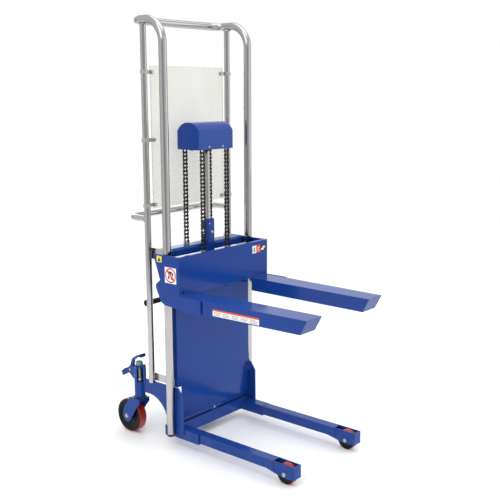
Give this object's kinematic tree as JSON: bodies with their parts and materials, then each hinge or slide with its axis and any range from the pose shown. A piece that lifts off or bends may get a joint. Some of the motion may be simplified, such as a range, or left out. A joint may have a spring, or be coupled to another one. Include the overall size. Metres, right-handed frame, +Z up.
{
  "type": "walkie stacker",
  "caption": "Hand-hydraulic straddle stacker: chromed tube mast, chain-lifted blue forks, clear shield, pump lever and braked casters",
  "frame": {"origin": "on the floor, at the centre of the bounding box's footprint", "axes": "+Z up the mast; -Y the way the forks point, so the operator stands at +Y; X across the mast"},
  "size_m": [0.564, 1.053, 1.797],
  "materials": {
    "blue_paint": "glossy enamel, lightly scuffed",
    "chrome_tube": "bright chrome plate",
    "zinc_hardware": "zinc plate",
    "red_polyurethane": "semi-gloss cast polyurethane",
    "black_rubber": "matt grip rubber",
    "chain_steel": "oiled roller chain",
    "dark_steel": "dark satin paint and oiled steel",
    "clear_shield": "clear plastic sheet"
  },
  "bodies": {
    "mast": {"mast_loop": "chrome_tube", "rear_upright_left": "chrome_tube", "rear_upright_right": "chrome_tube", "push_handle": "chrome_tube", "anchor_beam": "blue_paint", "cylinder_guard": "blue_paint", "cylinder_barrel": "dark_steel", "cover_panel": "blue_paint", "base_beam": "blue_paint", "leg_left": "blue_paint", "leg_right": "blue_paint", "load_axle_left": "zinc_hardware", "load_axle_right": "zinc_hardware", "caster_bracket_left": "blue_paint", "caster_bracket_right": "blue_paint", "shield_panel": "clear_shield", "shield_clamp_left_bottom": "zinc_hardware", "shield_clamp_right_bottom": "zinc_hardware", "shield_clamp_left_middle": "zinc_hardware", "shield_clamp_right_middle": "zinc_hardware", "shield_clamp_left_top": "zinc_hardware", "shield_clamp_right_top": "zinc_hardware", "rear_chain_left": "chain_steel", "rear_chain_right": "chain_steel", "pump_body": "dark_steel"},
    "lifting_head": {"piston_rod": "chrome_tube", "head_yoke": "dark_steel", "chain_wrap_left": "chain_steel", "chain_wrap_right": "chain_steel", "chain_hood": "blue_paint"},
    "carriage": {"carriage_front_plate": "blue_paint", "carriage_side_left": "blue_paint", "carriage_side_right": "blue_paint", "fork_left": "blue_paint", "fork_right": "blue_paint", "front_chain_left": "chain_steel", "front_chain_right": "chain_steel"},
    "sheave_left_body": {"sheave_left": "dark_steel"},
    "upper_roller_left": {"upper_mast_roller_left": "dark_steel"},
    "lower_roller_left": {"lower_mast_roller_left": "dark_steel"},
    "load_wheel_left_body": {"load_wheel_left": "red_polyurethane"},
    "caster_swivel_left": {"caster_fork_left": "blue_paint", "caster_axle_left": "zinc_hardware"},
    "caster_wheel_left_body": {"caster_wheel_left": "red_polyurethane"},
    "brake_pedal_left_body": {"brake_pedal_left": "blue_paint"},
    "brake_plunger_left_body": {"brake_plunger_left": "zinc_hardware"},
    "sheave_right_body": {"sheave_right": "dark_steel"},
    "upper_roller_right": {"upper_mast_roller_right": "dark_steel"},
    "lower_roller_right": {"lower_mast_roller_right": "dark_steel"},
    "load_wheel_right_body": {"load_wheel_right": "red_polyurethane"},
    "caster_swivel_right": {"caster_fork_right": "blue_paint", "caster_axle_right": "zinc_hardware"},
    "caster_wheel_right_body": {"caster_wheel_right": "red_polyurethane"},
    "brake_pedal_right_body": {"brake_pedal_right": "blue_paint"},
    "brake_plunger_right_body": {"brake_plunger_right": "zinc_hardware"},
    "pump_lever_body": {"pump_lever": "dark_steel", "pump_grip": "black_rubber"},
    "pump_ram_body": {"pump_ram": "zinc_hardware"},
    "release_lever_body": {"release_lever": "dark_steel"}
  },
  "joints": [
    {"name": "head_lift", "type": "slide", "parent": "mast", "child": "lifting_head", "axis": [0, 0, 1], "range_m": [-0.2945, 0.41], "deforming": ["rear_chain_left", "rear_chain_right"]},
    {"name": "carriage_lift", "type": "slide", "parent": "lifting_head", "child": "carriage", "axis": [0, 0, 1], "range_m": [-0.2945, 0.41], "deforming": ["front_chain_left", "front_chain_right"]},
    {"name": "sheave_spin_left", "type": "hinge", "parent": "lifting_head", "child": "sheave_left_body", "pos_m": [-0.075, 0.2005, 1.3], "axis": [-1, 0, 0], "range_deg": [-345, 480]},
    {"name": "upper_roller_spin_left", "type": "hinge", "parent": "carriage", "child": "upper_roller_left", "pos_m": [-0.258, 0.2195, 0.812], "axis": [1, 0, 0], "range_deg": [-2000, 2780]},
    {"name": "lower_roller_spin_left", "type": "hinge", "parent": "carriage", "child": "lower_roller_left", "pos_m": [-0.258, 0.1495, 0.655], "axis": [-1, 0, 0], "range_deg": [-2000, 2780]},
    {"name": "load_wheel_spin_left", "type": "hinge", "parent": "mast", "child": "load_wheel_left_body", "pos_m": [-0.21, -0.4055, 0.042], "axis": [1, 0, 0], "continuous": true},
    {"name": "caster_swivel_left_turn", "type": "hinge", "parent": "mast", "child": "caster_swivel_left", "pos_m": [-0.238, 0.3945, 0.19], "axis": [0, 0, 1], "continuous": true},
    {"name": "caster_wheel_spin_left", "type": "hinge", "parent": "caster_swivel_left", "child": "caster_wheel_left_body", "pos_m": [-0.238, 0.4515, 0.075], "axis": [1, 0, 0], "continuous": true},
    {"name": "brake_pedal_left_press", "type": "hinge", "parent": "mast", "child": "brake_pedal_left_body", "pos_m": [-0.238, 0.4395, 0.29], "axis": [1, 0, 0], "range_deg": [0, 18], "stiffness_Nm_per_rad": 6, "springref_deg": -11.46},
    {"name": "brake_plunger_left_drop", "type": "slide", "parent": "mast", "child": "brake_plunger_left_body", "axis": [0, 0, 1], "range_m": [-0.012, 0]},
    {"name": "sheave_spin_right", "type": "hinge", "parent": "lifting_head", "child": "sheave_right_body", "pos_m": [0.075, 0.2005, 1.3], "axis": [-1, 0, 0], "range_deg": [-345, 480]},
    {"name": "upper_roller_spin_right", "type": "hinge", "parent": "carriage", "child": "upper_roller_right", "pos_m": [0.258, 0.2195, 0.812], "axis": [1, 0, 0], "range_deg": [-2000, 2780]},
    {"name": "lower_roller_spin_right", "type": "hinge", "parent": "carriage", "child": "lower_roller_right", "pos_m": [0.258, 0.1495, 0.655], "axis": [-1, 0, 0], "range_deg": [-2000, 2780]},
    {"name": "load_wheel_spin_right", "type": "hinge", "parent": "mast", "child": "load_wheel_right_body", "pos_m": [0.21, -0.4055, 0.042], "axis": [1, 0, 0], "continuous": true},
    {"name": "caster_swivel_right_turn", "type": "hinge", "parent": "mast", "child": "caster_swivel_right", "pos_m": [0.238, 0.3945, 0.19], "axis": [0, 0, 1], "continuous": true},
    {"name": "caster_wheel_spin_right", "type": "hinge", "parent": "caster_swivel_right", "child": "caster_wheel_right_body", "pos_m": [0.238, 0.4515, 0.075], "axis": [1, 0, 0], "continuous": true},
    {"name": "brake_pedal_right_press", "type": "hinge", "parent": "mast", "child": "brake_pedal_right_body", "pos_m": [0.238, 0.4395, 0.29], "axis": [1, 0, 0], "range_deg": [0, 18], "stiffness_Nm_per_rad": 6, "springref_deg": -11.46},
    {"name": "brake_plunger_right_drop", "type": "slide", "parent": "mast", "child": "brake_plunger_right_body", "axis": [0, 0, 1], "range_m": [-0.012, 0]},
    {"name": "pump_stroke", "type": "hinge", "parent": "mast", "child": "pump_lever_body", "pos_m": [0, 0.3025, 0.262], "axis": [-1, 0, 0], "range_deg": [0, 45], "stiffness_Nm_per_rad": 12, "springref_deg": -34.38},
    {"name": "pump_ram_drop", "type": "slide", "parent": "mast", "child": "pump_ram_body", "axis": [0, 0, 1], "range_m": [-0.0225, 0]},
    {"name": "release_press", "type": "hinge", "parent": "mast", "child": "release_lever_body", "pos_m": [0.051, 0.2795, 0.15], "axis": [-1, 0, 0], "range_deg": [0, 18], "stiffness_Nm_per_rad": 2, "springref_deg": -22.92}
  ],
  "couplings": [
    {"joint": "carriage_lift", "follows": "head_lift", "ratio": 1},
    {"joint": "sheave_spin_left", "follows": "head_lift", "rad_per_m": 20},
    {"joint": "upper_roller_spin_left", "follows": "head_lift", "rad_per_m": 114.29},
    {"joint": "lower_roller_spin_left", "follows": "head_lift", "rad_per_m": 114.29},
    {"joint": "brake_plunger_left_drop", "follows": "brake_pedal_left_press", "m_per_rad": -0.0382},
    {"joint": "sheave_spin_right", "follows": "head_lift", "rad_per_m": 20},
    {"joint": "upper_roller_spin_right", "follows": "head_lift", "rad_per_m": 114.29},
    {"joint": "lower_roller_spin_right", "follows": "head_lift", "rad_per_m": 114.29},
    {"joint": "brake_plunger_right_drop", "follows": "brake_pedal_right_press", "m_per_rad": -0.0382},
    {"joint": "pump_ram_drop", "follows": "pump_stroke", "m_per_rad": -0.0285}
  ]
}
